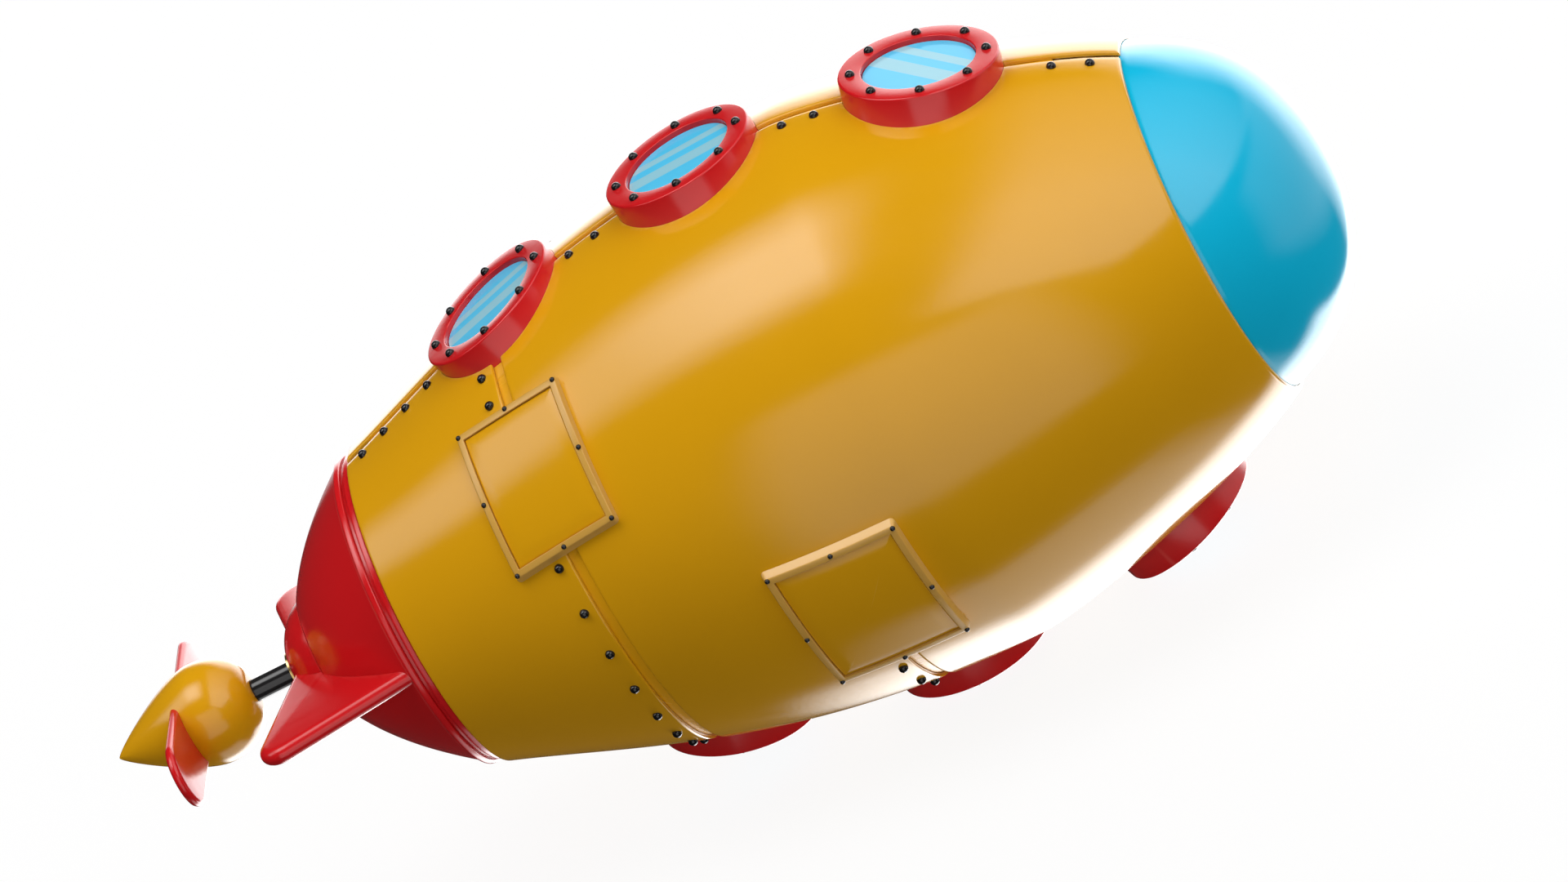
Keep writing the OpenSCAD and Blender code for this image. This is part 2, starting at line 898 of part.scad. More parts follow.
module frame_screws() {
    color("dimgray") placed()
        pillar_places() {
            rod(bulkhead_x - 1.2, bulkhead_x - seat_gap, screw_head);
            rod(bulkhead_x - 1, bulkhead_x + 5, screw_radius);
            rod(fore_plate_x + plate_thickness + seat_gap, fore_plate_x + plate_thickness + 1.2, screw_head);
            rod(fore_plate_x - 4, fore_plate_x + plate_thickness + 1, screw_radius);
        }
}

plate_aft_right();
plate_aft_left();
plate_fore_right();
plate_fore_left();
strip_top();
strip_bottom();
girdle_right();
girdle_left();
short_girdle_right();
short_girdle_left();
seam_rivets();
nose_collar();
nose_dome();
ring_aft_top();
ring_mid_top();
ring_fore_top();
ring_aft_bottom();
ring_mid_bottom();
ring_fore_bottom();
glass_aft_top();
glass_mid_top();
glass_fore_top();
glass_aft_bottom();
glass_mid_bottom();
glass_fore_bottom();
porthole_rivets();
resting_rivets();
frame_aft_right();
frame_fore_right();
frame_aft_left();
frame_fore_left();
cover_aft_right();
cover_fore_right();
cover_aft_left();
cover_fore_left();
panel_rivets();
tail_flange();
tail_dome();
tail_cap();
stern_bush();
fin_right();
fin_left();
prop_hub();
blade_pair();
prop_shaft();
shaft_pinion();
idler_arbor();
idler_wheel();
idler_pinion();
great_arbor();
great_wheel();
mainspring();
bulkhead();
fore_plate();
pillars();
frame_screws();
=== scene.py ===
import json
import math

import bpy
from mathutils import Matrix, Vector


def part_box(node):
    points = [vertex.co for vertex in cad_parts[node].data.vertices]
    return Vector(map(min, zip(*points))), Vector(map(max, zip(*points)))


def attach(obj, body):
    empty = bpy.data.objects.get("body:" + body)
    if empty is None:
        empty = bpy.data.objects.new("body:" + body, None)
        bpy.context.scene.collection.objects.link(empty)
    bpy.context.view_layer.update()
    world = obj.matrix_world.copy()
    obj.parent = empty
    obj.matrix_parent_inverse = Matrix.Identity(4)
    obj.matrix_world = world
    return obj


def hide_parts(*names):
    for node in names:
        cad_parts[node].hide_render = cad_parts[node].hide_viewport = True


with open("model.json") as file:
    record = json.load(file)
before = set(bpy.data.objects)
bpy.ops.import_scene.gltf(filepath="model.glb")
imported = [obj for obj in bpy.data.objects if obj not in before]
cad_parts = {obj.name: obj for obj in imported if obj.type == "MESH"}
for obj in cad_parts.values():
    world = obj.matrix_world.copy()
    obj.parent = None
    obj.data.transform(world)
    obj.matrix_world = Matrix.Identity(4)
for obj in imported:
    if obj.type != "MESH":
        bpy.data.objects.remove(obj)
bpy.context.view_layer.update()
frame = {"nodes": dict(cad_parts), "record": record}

# Tin space rocket. Sizes are in millimetres, about the hull's axis, with X = 0 at the hull's aft rim and the
# nose towards +X. Angles run about the axis from +Y towards +Z. TO_FRAME turns them into the frame's metres.
MM = 0.001
AFT_RIM_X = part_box("plate_aft_right")[0][0] / MM
HULL_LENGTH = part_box("plate_fore_right")[1][0] / MM - AFT_RIM_X
AXIS_Z = (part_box("nose_dome")[0][2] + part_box("nose_dome")[1][2]) / 2 / MM
TO_FRAME = Matrix.Scale(MM, 4) @ Matrix.Translation((AFT_RIM_X, 0, AXIS_Z))
ABOUT_AXIS = Matrix(((0, 0, 1, 0), (1, 0, 0, 0), (0, 1, 0, 0), (0, 0, 0, 1)))   # local Z lies along +X

HULL_RADIUS = 54.1
AFT_RIM_RADIUS = 32.1
NOSE_RIM_RADIUS = 35.5
WIDEST_X = 0.615 * HULL_LENGTH
SHEET = 0.8
SEAM_WIDTH = 2.0
SEAM_X = 0.231 * HULL_LENGTH
SHORT_SEAM_X = 0.499 * HULL_LENGTH
SHORT_SEAM_START = 205
PLATE_EDGE = 0.42          # rounding of a plate's edges
SEAT_GAP = 0.05            # between two pieces that are fixed to each other
NOSE_LENGTH = 23.4

PORTHOLES = [              # station, height of the face above the axis, lean towards the nose
    (0.2356 * HULL_LENGTH, HULL_RADIUS - 6.2, -15.7),
    (0.51 * HULL_LENGTH, HULL_RADIUS + 2.5, -2),
    (0.8004 * HULL_LENGTH, HULL_RADIUS - 2.5, 16.6),
]
PORTHOLE_NAMES = ["aft", "mid", "fore"]
ROWS = {"top": 90, "bottom": 270}
RING_RADIUS = 14.8
RING_OPENING = 10.5
RING_DEPTH = 7.0
RING_RIVETS = 8
RIVET_CIRCLE = RING_OPENING + 0.45 * (RING_RADIUS - RING_OPENING)
GLASS_RECESS = 1.0
GLASS_THICKNESS = 1.4

PANELS = {                 # station, angle, length, width
    "aft": (0.228 * HULL_LENGTH, 141.6, 24.2, 29.4),
    "fore": (0.496 * HULL_LENGTH, 198.8, 26.6, 31.6),
}
PANEL_HEIGHT = 1.6
PANEL_LEDGE = 1.7

RIVET_RISE = 0.1           # a rivet head's middle stands this share of its radius above the sheet
SEAM_RIVET = 0.9
RING_RIVET = 0.9
PANEL_RIVET = 0.5
PANEL_RIVET_SEAT = 0.08    # how deep these rivets press into the ledge
RIVET_OFFSET = 3.6
ROW_RIVET_X = [4.4, 10, 15.7, 21.3, 56.1, 62, 101.5, 107.5, 149, 155.3]
GIRDLE_RIVET_ANGLES = [111, 119.6, 163, 175.2, 187.4, 199.6, 211.8, 224, 236.2, 248.4]
SHORT_RIVET_ANGLES = [221.8, 233.3, 244.8]

FLANGE_LENGTH = 3.4
FLANGE_RADIUS = AFT_RIM_RADIUS - 0.9
FLANGE_BORE = 23
TAIL_CURVE = [(-FLANGE_LENGTH - SEAT_GAP, FLANGE_RADIUS - 0.7), (-9.4, 26.2), (-16.6, 20.4), (-21.5, 12.6)]
CAP_RADIUS = 12.7
CAP_CENTRE_X = -16.5
FIN_THICKNESS = 3.4
FIN_TURN = 3
FIN_REACH = 37.2
FIN_TIP = 4.6              # radius of a fin's round tip
FIN_TIP_X = -29.6
FIN_GAP = 0.02             # between a fin and the tail that it stands on

SHAFT_RADIUS = 2.15
SHAFT_START_X = -61
SHAFT_END_X = 101.5
HUB_RADIUS = 9.8
HUB_WIDEST_X = -46.6
HUB_TIP_X = -65.6
HUB_FRONT_X = -37.2
BLADE_X = -50.6
BLADE_REACH = 29.2
BLADE_WIDTH = 12.5
BLADE_THICKNESS = 1.8


# ---- Curves ----

def cubic(controls, steps):
    """Points along a cubic curve with four control points."""
    points = []
    for i in range(steps + 1):
        t = i / steps
        weights = ((1 - t) ** 3, 3 * (1 - t) ** 2 * t, 3 * (1 - t) * t * t, t ** 3)
        points.append(tuple(sum(w * c[k] for w, c in zip(weights, controls)) for k in (0, 1)))
    return points


HULL_CURVE = cubic([
    (0, AFT_RIM_RADIUS),
    (0.153 * HULL_LENGTH, AFT_RIM_RADIUS + 0.0525 * HULL_LENGTH),
    (0.314 * HULL_LENGTH, HULL_RADIUS),
    (WIDEST_X, HULL_RADIUS),
], 300) + cubic([
    (WIDEST_X, HULL_RADIUS),
    (0.666 * HULL_LENGTH, HULL_RADIUS),
    (0.894 * HULL_LENGTH, NOSE_RIM_RADIUS + 0.0623 * HULL_LENGTH),
    (HULL_LENGTH, NOSE_RIM_RADIUS),
], 300)[1:]


def hull_at(x):
    """The hull's radius at a station."""
    low, high = 0, len(HULL_CURVE) - 1
    while high - low > 1:
        middle = (low + high) // 2
        if HULL_CURVE[middle][0] <= x:
            low = middle
        else:
            high = middle
    (x0, r0), (x1, r1) = HULL_CURVE[low], HULL_CURVE[high]
    return r0 + (r1 - r0) * (x - x0) / (x1 - x0)


def hull_lean(x):
    """The hull's slope at a station, in radians."""
    return math.atan((hull_at(x + 1) - hull_at(x - 1)) / 2)


def rounded(corners, steps=5):
    """A closed outline with its corners rounded. Each corner is (x, y, radius)."""
    points = []
    for i, (x, y, radius) in enumerate(corners):
        here = Vector((x, y))
        before = Vector(corners[i - 1][:2]) - here
        after = Vector(corners[(i + 1) % len(corners)][:2]) - here
        if radius <= 0:
            points.append((x, y))
            continue
        half = before.angle(after) / 2
        reach = radius / math.tan(half)
        start = here + before.normalized() * reach
        end = here + after.normalized() * reach
        middle = here + (before.normalized() + after.normalized()).normalized() * radius / math.sin(half)
        sweep = (start - middle).angle_signed(end - middle)
        for k in range(steps + 1):
            arm = (start - middle).copy()
            arm.rotate(Matrix.Rotation(-sweep * k / steps, 2))
            points.append(tuple(middle + arm))
    return points


# ---- Places ----

def turned(angle, axis):
    return Matrix.Rotation(math.radians(angle), 4, axis)


def outward(x, angle):
    """Local +Z points away from the axis at this station and angle."""
    return Matrix.Translation((x, 0, 0)) @ turned(angle - 90, "X")


def on_surface(x, angle):
    lean = Matrix.Rotation(-hull_lean(x), 4, "Y")
    return outward(x, angle) @ Matrix.Translation((0, 0, hull_at(x))) @ lean


def on_porthole(index, angle):
    x, height, lean = PORTHOLES[index]
    return outward(x, angle) @ Matrix.Translation((0, 0, height)) @ turned(lean, "Y")


def polar(x, angle, radius):
    a = math.radians(angle)
    return Vector((x, radius * math.cos(a), radius * math.sin(a)))


def mirrored(points):
    return [Vector((p[0], -p[1], p[2])) for p in points]


# ---- Meshes ----

SHARP_ANGLE = 38           # edges that turn more than this are drawn sharp

def facing_out(points, faces):
    """The faces of a closed solid, turned over if they face inwards."""
    volume = 0
    for face in faces:
        first = Vector(points[face[0]])
        for i, j in zip(face[1:], face[2:]):
            volume += first.dot(Vector(points[i]).cross(Vector(points[j])))
    return faces if volume > 0 else [tuple(reversed(face)) for face in faces]


def build(name, points, faces, material, body, nodes):
    """A smooth-shaded piece in the frame's metres that rides on a body and stands for CAD nodes."""
    mesh = bpy.data.meshes.new(name)
    mesh.from_pydata([TO_FRAME @ Vector(p) for p in points], [], facing_out(points, faces))
    mesh.validate()
    mesh.shade_smooth()
    mesh.set_sharp_from_angle(angle=math.radians(SHARP_ANGLE))
    mesh.materials.append(material)
    piece = bpy.data.objects.new(name, mesh)
    bpy.context.scene.collection.objects.link(piece)
    if body:
        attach(piece, body)
    if nodes:
        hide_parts(*nodes)
    return piece


def lathe(profile, place, segments=96, closed=True):
    """Points and faces of a profile of (height, radius) pairs turned about a place's Z axis."""
    points, rows = [], []
    for height, radius in profile:
        if radius < 1e-6:
            rows.append([len(points)] * segments)
            points.append(place @ Vector((0, 0, height)))
            continue
        rows.append(list(range(len(points), len(points) + segments)))
        for k in range(segments):
            a = 2 * math.pi * k / segments
            points.append(place @ Vector((radius * math.cos(a), radius * math.sin(a), height)))
    faces = []
    pairs = list(zip(rows, rows[1:] + rows[:1])) if closed else list(zip(rows, rows[1:]))
    for low, high in pairs:
        for k in range(segments):
            n = (k + 1) % segments
            face = []
            for index in (low[k], low[n], high[n], high[k]):
                if index not in face:
                    face.append(index)
            if len(face) > 2:
                faces.append(tuple(face))
    return points, faces


def join(parts):
    """One set of points and faces from several."""
    points, faces = [], []
    for more_points, more_faces in parts:
        start = len(points)
        points.extend(more_points)
        faces.extend(tuple(i + start for i in face) for face in more_faces)
    return points, faces


def cut(piece, parts):
    """Cuts closed solids, given as points and faces in hull millimetres, out of a piece."""
    points, faces = join([(points, facing_out(points, faces)) for points, faces in parts])
    mesh = bpy.data.meshes.new("cutter")
    mesh.from_pydata([TO_FRAME @ Vector(p) for p in points], [], faces)
    cutter = bpy.data.objects.new("cutter", mesh)
    bpy.context.scene.collection.objects.link(cutter)
    modifier = piece.modifiers.new("cut", "BOOLEAN")
    modifier.object = cutter
    modifier.operation = "DIFFERENCE"
    modifier.solver = "EXACT"
    evaluated = piece.evaluated_get(bpy.context.evaluated_depsgraph_get())
    result = bpy.data.meshes.new_from_object(evaluated)
    result.name = piece.name
    result.set_sharp_from_angle(angle=math.radians(SHARP_ANGLE))
    piece.modifiers.remove(modifier)
    piece.data = result
    bpy.data.objects.remove(cutter)


def swept_loops(loops):
    """Faces between closed loops of equal length, the last joined to the first."""
    points, faces = [], []
    count = len(loops[0])
    for loop in loops:
        points.extend(loop)
    for i in range(len(loops)):
        low, high = i * count, (i + 1) % len(loops) * count
        for k in range(count):
            n = (k + 1) % count
            faces.append((low + k, low + n, high + n, high + k))
    return points, faces


def capped_loops(loops):
    """Faces between closed loops of equal length, with a flat end on the first and the last."""
    points, faces = swept_loops(loops)
    count = len(loops[0])
    faces = faces[:-count]
    faces.append(tuple(reversed(range(count))))
    faces.append(tuple(range(len(points) - count, len(points))))
    return points, faces


FINE = [0, 0.05, 0.11, 0.19, 0.32, 0.6]    # spacing of the rows beside an edge


def spread(start, end, scale, step):
    """Stations from start to end that crowd at both ends. scale is millimetres for each unit."""
    fine = [f / scale for f in FINE]
    low, high = start + fine[-1], end - fine[-1]
    count = max(2, round((high - low) * scale / step))
    middle = [low + (high - low) * i / count for i in range(1, count)]
    return [start + f for f in fine] + middle + [end - f for f in reversed(fine)]


def edge_drop(distance, radius=PLATE_EDGE):
    """How far a rounded edge falls away at a distance from it."""
    if distance >= radius:
        return 0
    return radius - math.sqrt(max(0, radius ** 2 - (radius - distance) ** 2))


def plate(x0, x1, thickness, reach, slot=False):
    """A rounded quarter of the hull's skin on the -Y side, between two stations.

    reach is how far its long edges stay from the middle plane. slot leaves out the short seam.
    """
    half = SEAM_WIDTH / 2
    start, end, step = 90, 270, 1.6
    stations = spread(x0, x1, 1, step)
    if slot:
        gap = (SHORT_SEAM_X - half, SHORT_SEAM_X + half)
        stations = spread(x0, gap[0], 1, step) + [SHORT_SEAM_X] + spread(gap[1], x1, 1, step)

    def columns(x):
        radius = hull_at(x)
        arc = radius * math.pi / 180
        low = start + math.degrees(math.asin(reach / radius))
        high = end - math.degrees(math.asin(reach / radius))
        middle = spread(low, SHORT_SEAM_START, hull_at(WIDEST_X) * math.pi / 180, step)[:-1]
        rest = spread(SHORT_SEAM_START, high, hull_at(WIDEST_X) * math.pi / 180, step)
        return [(a, (a - low) * arc, (high - a) * arc) for a in middle + rest]

    widest = columns(WIDEST_X)
    count = len(widest)
    outer, inner = [], []
    for x in stations:
        radius = hull_at(x)
        row = columns(x)
        if len(row) != count:
            share = [(a - widest[0][0]) / (widest[-1][0] - widest[0][0]) for a, _, _ in widest]
            low, high = row[0][0], row[-1][0]
            arc = radius * math.pi / 180
            angles = [low + s * (high - low) for s in share]
            row = [(a, (a - low) * arc, (high - a) * arc) for a in angles]
        for a, from_low, from_high in row:
            gap_distance = 10
            if slot:
                aside = max(0, abs(x - SHORT_SEAM_X) - half)
                before = max(0, (SHORT_SEAM_START - a) * radius * math.pi / 180)
                gap_distance = math.hypot(aside, before)
            distance = min(x - x0, x1 - x, from_low, from_high, gap_distance)
            outer.append(polar(x, a, radius - edge_drop(distance)))
            inner.append(polar(x, a, radius - thickness))
    cells = []
    for i in range(len(stations) - 1):
        middle_x = (stations[i] + stations[i + 1]) / 2
        for j in range(count - 1):
            a = (widest[j][0] + widest[j + 1][0]) / 2
            if slot and abs(middle_x - SHORT_SEAM_X) < half and a > SHORT_SEAM_START:
                continue
            cells.append((i * count + j, (i + 1) * count + j, (i + 1) * count + j + 1, i * count + j + 1))
    return closed_sheet(outer, inner, cells)


def closed_sheet(outer, inner, cells):
    """A sheet with an outer and an inner side and walls round its edges."""
    size = len(outer)
    faces = list(cells) + [tuple(i + size for i in reversed(cell)) for cell in cells]
    sides = {}             # a dictionary, since a set would lose the order of the walls
    for cell in cells:
        for a, b in zip(cell, cell[1:] + cell[:1]):
            sides[(a, b)] = True
    for a, b in sides:
        if (b, a) not in sides:
            faces.append((b, a, a + size, b + size))
    used = sorted({i for face in faces for i in face})
    index = {old: new for new, old in enumerate(used)}
    points = outer + inner
    return [points[i] for i in used], [tuple(index[i] for i in face) for face in faces]


def ball_head(radius, place, segments=28):
    """A rivet's head: a little over half of a ball, standing on the sheet."""
    foot = -math.asin(RIVET_RISE)
    profile = [(0, 0)]
    for k in range(11):
        a = foot + (math.pi / 2 - foot) * k / 10
        profile.append((radius * (RIVET_RISE + math.sin(a)), radius * math.cos(a)))
    profile[-1] = (radius * (1 + RIVET_RISE), 0)
    return lathe(profile, place, segments, closed=False)


def round_plate(outline, thickness, place, steps=6):
    """A flat plate with a fully rounded edge. The outline is a closed list of points."""
    radius = thickness / 2
    count = len(outline)
    area = sum(a[0] * b[1] - a[1] * b[0] for a, b in zip(outline, outline[1:] + outline[:1]))
    if area < 0:
        outline = outline[::-1]
    normals = []
    for k in range(count):
        along = Vector(outline[(k + 1) % count]) - Vector(outline[k - 1])
        normals.append(Vector((-along.y, along.x)).normalized())
    loops = []
    for i in range(2 * steps + 1):
        a = -math.pi / 2 + math.pi * i / (2 * steps)
        inset = radius * (1 - math.cos(a))
        loops.append([
            place @ Vector((p[0] + n.x * inset, p[1] + n.y * inset, radius * math.sin(a)))
            for p, n in zip(outline, normals)
        ])
    return capped_loops(loops)


# ---- Materials ----

class Shader:
    """A material's node tree, with short calls for the nodes that the finishes share."""

    def __init__(self, name):
        self.material = bpy.data.materials.new(name)
        self.material.use_nodes = True
        self.tree = self.material.node_tree
        self.surface = self.tree.nodes["Principled BSDF"]
        self.place = self.add("ShaderNodeTexCoord").outputs["Object"]

    def add(self, kind, **settings):
        node = self.tree.nodes.new(kind)
        for key, value in settings.items():
            setattr(node, key, value)
        return node

    def link(self, source, target):
        self.tree.links.new(source, target)

    def noise(self, scale, detail=3, stretch=None):
        node = self.add("ShaderNodeTexNoise")
        node.inputs["Scale"].default_value = scale
        node.inputs["Detail"].default_value = detail
        place = self.place
        if stretch:
            mapping = self.add("ShaderNodeMapping")
            mapping.inputs["Scale"].default_value = stretch
            self.link(place, mapping.inputs["Vector"])
            place = mapping.outputs["Vector"]
        self.link(place, node.inputs["Vector"])
        return node.outputs["Fac"]

    def mapped(self, source, low, high, to_low, to_high):
        node = self.add("ShaderNodeMapRange")
        for name, value in zip(("From Min", "From Max", "To Min", "To Max"), (low, high, to_low, to_high)):
            node.inputs[name].default_value = value
        self.link(source, node.inputs["Value"])
        return node.outputs["Result"]

    def mixed(self, share, first, second):
        """Mixes two colours, each a tuple or a socket."""
        node = self.add("ShaderNodeMix", data_type="RGBA")
        self.link(share, node.inputs["Factor"])
        for name, value in (("A", first), ("B", second)):
            socket = next(s for s in node.inputs if s.name == name and s.type == "RGBA")
            if isinstance(value, tuple):
                socket.default_value = value
            else:
                self.link(value, socket)
        return next(s for s in node.outputs if s.type == "RGBA")

    def bumped(self, height, strength, distance):
        node = self.add("ShaderNodeBump")
        node.inputs["Strength"].default_value = strength
        node.inputs["Distance"].default_value = distance
        self.link(height, node.inputs["Height"])
        self.link(node.outputs["Normal"], self.surface.inputs["Normal"])

    def set(self, **values):
        for name, value in values.items():
            self.surface.inputs[name.replace("_", " ")].default_value = value


def tinted(colour, factor):
    return tuple(min(1, c * factor) for c in colour[:3]) + (1,)


def enamel(name, colour, roughness, worn_and_highlight_colour, patch=0.03, peel=0.05):
    """Glossy baked enamel: slight patches of tone, a fine orange peel, faint rubbing and paler edges, the
    paler edges partly wear and partly a painted highlight.
    """
    s = Shader(name)
    tone = s.mapped(s.noise(22, 4), 0.3, 0.7, 0, 1)
    base = s.mixed(tone, tinted(colour, 1 - patch), tinted(colour, 1 + patch))
    # Convex edges are mixed towards a paler colour: partly rubbed enamel, partly a painted highlight along
    # the rounded edges.
    edges = s.add("ShaderNodeNewGeometry").outputs["Pointiness"]
    rubbed_and_highlit = s.mapped(edges, 0.53, 0.62, 0, 0.5)
    s.link(s.mixed(rubbed_and_highlit, base, worn_and_highlight_colour), s.surface.inputs["Base Color"])
    scuffs = s.noise(60, 6, stretch=(1, 6, 1))
    s.link(s.mapped(scuffs, 0.35, 0.75, roughness * 0.9, roughness * 1.2), s.surface.inputs["Roughness"])
    s.bumped(s.noise(900, 2), peel, 0.0002)
    return s.material


def glass_with_glints():
    """Tinted pane over a pale blue backing, with two printed glints across it."""
    s = Shader("porthole_pane")
    split = s.add("ShaderNodeUVMap")
    split.uv_map = "pane"
    xyz = s.add("ShaderNodeSeparateXYZ")
    s.link(split.outputs["UV"], xyz.inputs["Vector"])
    tone = s.mapped(s.noise(50, 2), 0.3, 0.7, 0, 1)
    base = s.mixed(tone, (0.080, 0.560, 0.880, 1), (0.095, 0.600, 0.920, 1))
    for low, high in ((-0.30, 0.06), (0.30, 0.52)):
        above = s.mapped(xyz.outputs["Y"], low, low + 0.015, 0, 1)
        below = s.mapped(xyz.outputs["Y"], high, high + 0.015, 1, 0)
        both = s.add("ShaderNodeMath", operation="MULTIPLY")
        s.link(above, both.inputs[0])
        s.link(below, both.inputs[1])
        base = s.mixed(both.outputs[0], base, (0.300, 0.620, 0.740, 1))
    s.link(base, s.surface.inputs["Base Color"])
    s.link(s.mapped(s.noise(300, 3), 0.3, 0.7, 0.04, 0.09), s.surface.inputs["Roughness"])
    s.bumped(s.noise(160, 2), 0.03, 0.0003)
    return s.material


def metal(name, colour, roughness, grain):
    s = Shader(name)
    s.set(Metallic=1.0)
    tone = s.mapped(s.noise(90, 5, stretch=grain), 0.3, 0.7, 0, 1)
    s.link(s.mixed(tone, tinted(colour, 0.82), tinted(colour, 1.08)), s.surface.inputs["Base Color"])
    s.link(s.mapped(s.noise(400, 4, stretch=grain), 0.3, 0.7, roughness * 0.7, roughness * 1.4),
           s.surface.inputs["Roughness"])
    s.bumped(s.noise(1500, 3, stretch=grain), 0.08, 0.0001)
    return s.material


YELLOW = (0.710, 0.342, 0.004, 1)
RED = (0.620, 0.009, 0.012, 1)
BLUE = (0.004, 0.480, 0.740, 1)
BLACK = (0.006, 0.006, 0.007, 1)

# The last colour given to each enamel is its paler edge colour, partly wear and partly a painted highlight.
MATERIALS = {
    "yellow_enamel": enamel("yellow_enamel", YELLOW, 0.13, (0.90, 0.56, 0.16, 1)),
    "rubbed_yellow": enamel("rubbed_yellow", (0.640, 0.350, 0.065, 1), 0.2, (0.80, 0.50, 0.16, 1)),
    "yellow_backing": enamel("yellow_backing", tinted(YELLOW, 1.1), 0.25, (0.8, 0.45, 0.05, 1)),
    "red_enamel": enamel("red_enamel", RED, 0.16, (0.80, 0.10, 0.09, 1)),
    "red_moulding": enamel("red_moulding", RED, 0.17, (0.80, 0.10, 0.09, 1), peel=0.03),
    "yellow_moulding": enamel("yellow_moulding", YELLOW, 0.16, (0.90, 0.56, 0.16, 1), peel=0.03),
    "blue_enamel": enamel("blue_enamel", BLUE, 0.12, (0.10, 0.55, 0.80, 1), peel=0.03),
    "black_enamel": enamel("black_enamel", BLACK, 0.12, (0.05, 0.05, 0.05, 1), patch=0.2),
    "porthole_glass": glass_with_glints(),
    "bright_steel": metal("bright_steel", (0.62, 0.62, 0.64, 1), 0.25, (1, 1, 1)),
    "spring_steel": metal("spring_steel", (0.20, 0.22, 0.27, 1), 0.3, (1, 8, 8)),
    "brass": metal("brass", (0.80, 0.56, 0.22, 1), 0.25, (8, 1, 1)),
}


def finish_cad_nodes():
    """Gives every CAD node the finish of its material slot. Those that a piece replaces stay hidden."""
    for part in frame["record"]["subparts"]:
        for slot in frame["nodes"][part["node"]].material_slots:
            slot.material = MATERIALS[part["material_slot"]]


# ---- Hull ----

def both_sides(name, points, faces, material, nodes):
    """The piece on the -Y side, and its mirror image on the +Y side."""
    right = build(name + "_right_skin", points, faces, material, "hull", [nodes[0]])
    left = build(name + "_left_skin", mirrored(points), faces, material, "hull", [nodes[1]])
    return right, left


def porthole_room(extra):
    """Closed rods where the porthole rings pass through the hull."""
    rods = []
    reach = RING_RADIUS + extra
    profile = [(-RING_DEPTH - 4, 0), (-RING_DEPTH - 4, reach), (4, reach), (4, 0)]
    for index in range(len(PORTHOLES)):
        for angle in ROWS.values():
            rods.append(lathe(profile, on_porthole(index, angle), 128, closed=False))
    return rods


def make_hull():
    half = SEAM_WIDTH / 2
    yellow = MATERIALS["yellow_enamel"]
    rods = porthole_room(SEAT_GAP)
    aft = plate(0, SEAM_X - half, SHEET, half)
    fore = plate(SEAM_X + half, HULL_LENGTH, SHEET, half, slot=True)
    for name, (points, faces) in (("plate_aft", aft), ("plate_fore", fore)):
        nodes = (name + "_right", name + "_left")
        for piece in both_sides(name, points, faces, yellow, nodes):
            cut(piece, rods)


make_hull()


# ---- Portholes ----

def make_portholes():
    seat = GLASS_RECESS + GLASS_THICKNESS + SEAT_GAP
    ring_profile = rounded([
        (0, RING_OPENING, 0.22),
        (0, RING_RADIUS, 0.4),
        (-RING_DEPTH, RING_RADIUS, 0),
        (-RING_DEPTH, RING_RADIUS - SHEET, 0),
        (-SHEET, RING_RADIUS - SHEET, 0),
        (-SHEET, RING_OPENING + SHEET, 0),
        (-seat - SHEET, RING_OPENING + SHEET, 0),
        (-seat - SHEET, RING_OPENING - 0.9, 0),
        (-seat, RING_OPENING - 0.9, 0),
        (-seat, RING_OPENING, 0),
    ])
    pane = RING_OPENING - SEAT_GAP
    pane_profile = [(-GLASS_RECESS - GLASS_THICKNESS, 0), (-GLASS_RECESS - GLASS_THICKNESS, pane)]
    pane_profile += [(-GLASS_RECESS - 0.12, pane), (-GLASS_RECESS, pane - 0.12), (-GLASS_RECESS, 0)]
    glint_turns = {"aft": 0, "mid": 0, "fore": -45}
    for index, place_name in enumerate(PORTHOLE_NAMES):
        for row, angle in ROWS.items():
            place = on_porthole(index, angle)
            node = place_name + "_" + row
            points, faces = lathe(ring_profile, place, 128)
            build("ring_" + node + "_lip", points, faces, MATERIALS["red_enamel"], "hull", ["ring_" + node])
            points, faces = lathe(pane_profile, place, 96, closed=False)
            piece = build("glass_" + node + "_pane", points, faces, MATERIALS["porthole_glass"], "hull",
                          ["glass_" + node])
            map_pane(piece, place, glint_turns[place_name])


def map_pane(piece, place, turn):
    """Flat coordinates across a pane, from -1 to 1, turned so that its glints run the right way."""
    back = (TO_FRAME @ place @ turned(turn, "Z")).inverted()
    layer = piece.data.uv_layers.new(name="pane")
    for loop in piece.data.loops:
        p = back @ piece.data.vertices[loop.vertex_index].co
        layer.data[loop.index].uv = (p.x / RING_OPENING, p.y / RING_OPENING)


make_portholes()


# ---- Rivets ----

def ring_rivet_places(index, angle):
    place = on_porthole(index, angle)
    for k in range(RING_RIVETS):
        yield place @ turned(45 + 360 * k / RING_RIVETS, "Z") @ Matrix.Translation((RIVET_CIRCLE, 0, 0))


def seam_rivet_places():
    for x in ROW_RIVET_X:
        beside = math.degrees(math.asin(RIVET_OFFSET / hull_at(x)))
        yield on_surface(x, 90 + beside)
        yield on_surface(x, 270 - beside)
    for sign in (1, -1):
        for a in GIRDLE_RIVET_ANGLES:
            yield on_surface(SEAM_X - RIVET_OFFSET, a if sign > 0 else 180 - a)
        for a in SHORT_RIVET_ANGLES:
            yield on_surface(SHORT_SEAM_X - RIVET_OFFSET + 0.6, a if sign > 0 else 180 - a)


def panel_point(panel, along, across, height):
    """A point above the hull, given along and across a panel on the -Y side."""
    station, angle, _, _ = panel
    x = station + along * math.cos(hull_lean(station))
    radius = hull_at(x) + height
    return polar(x, angle + math.degrees(math.asin(across / radius)), radius)


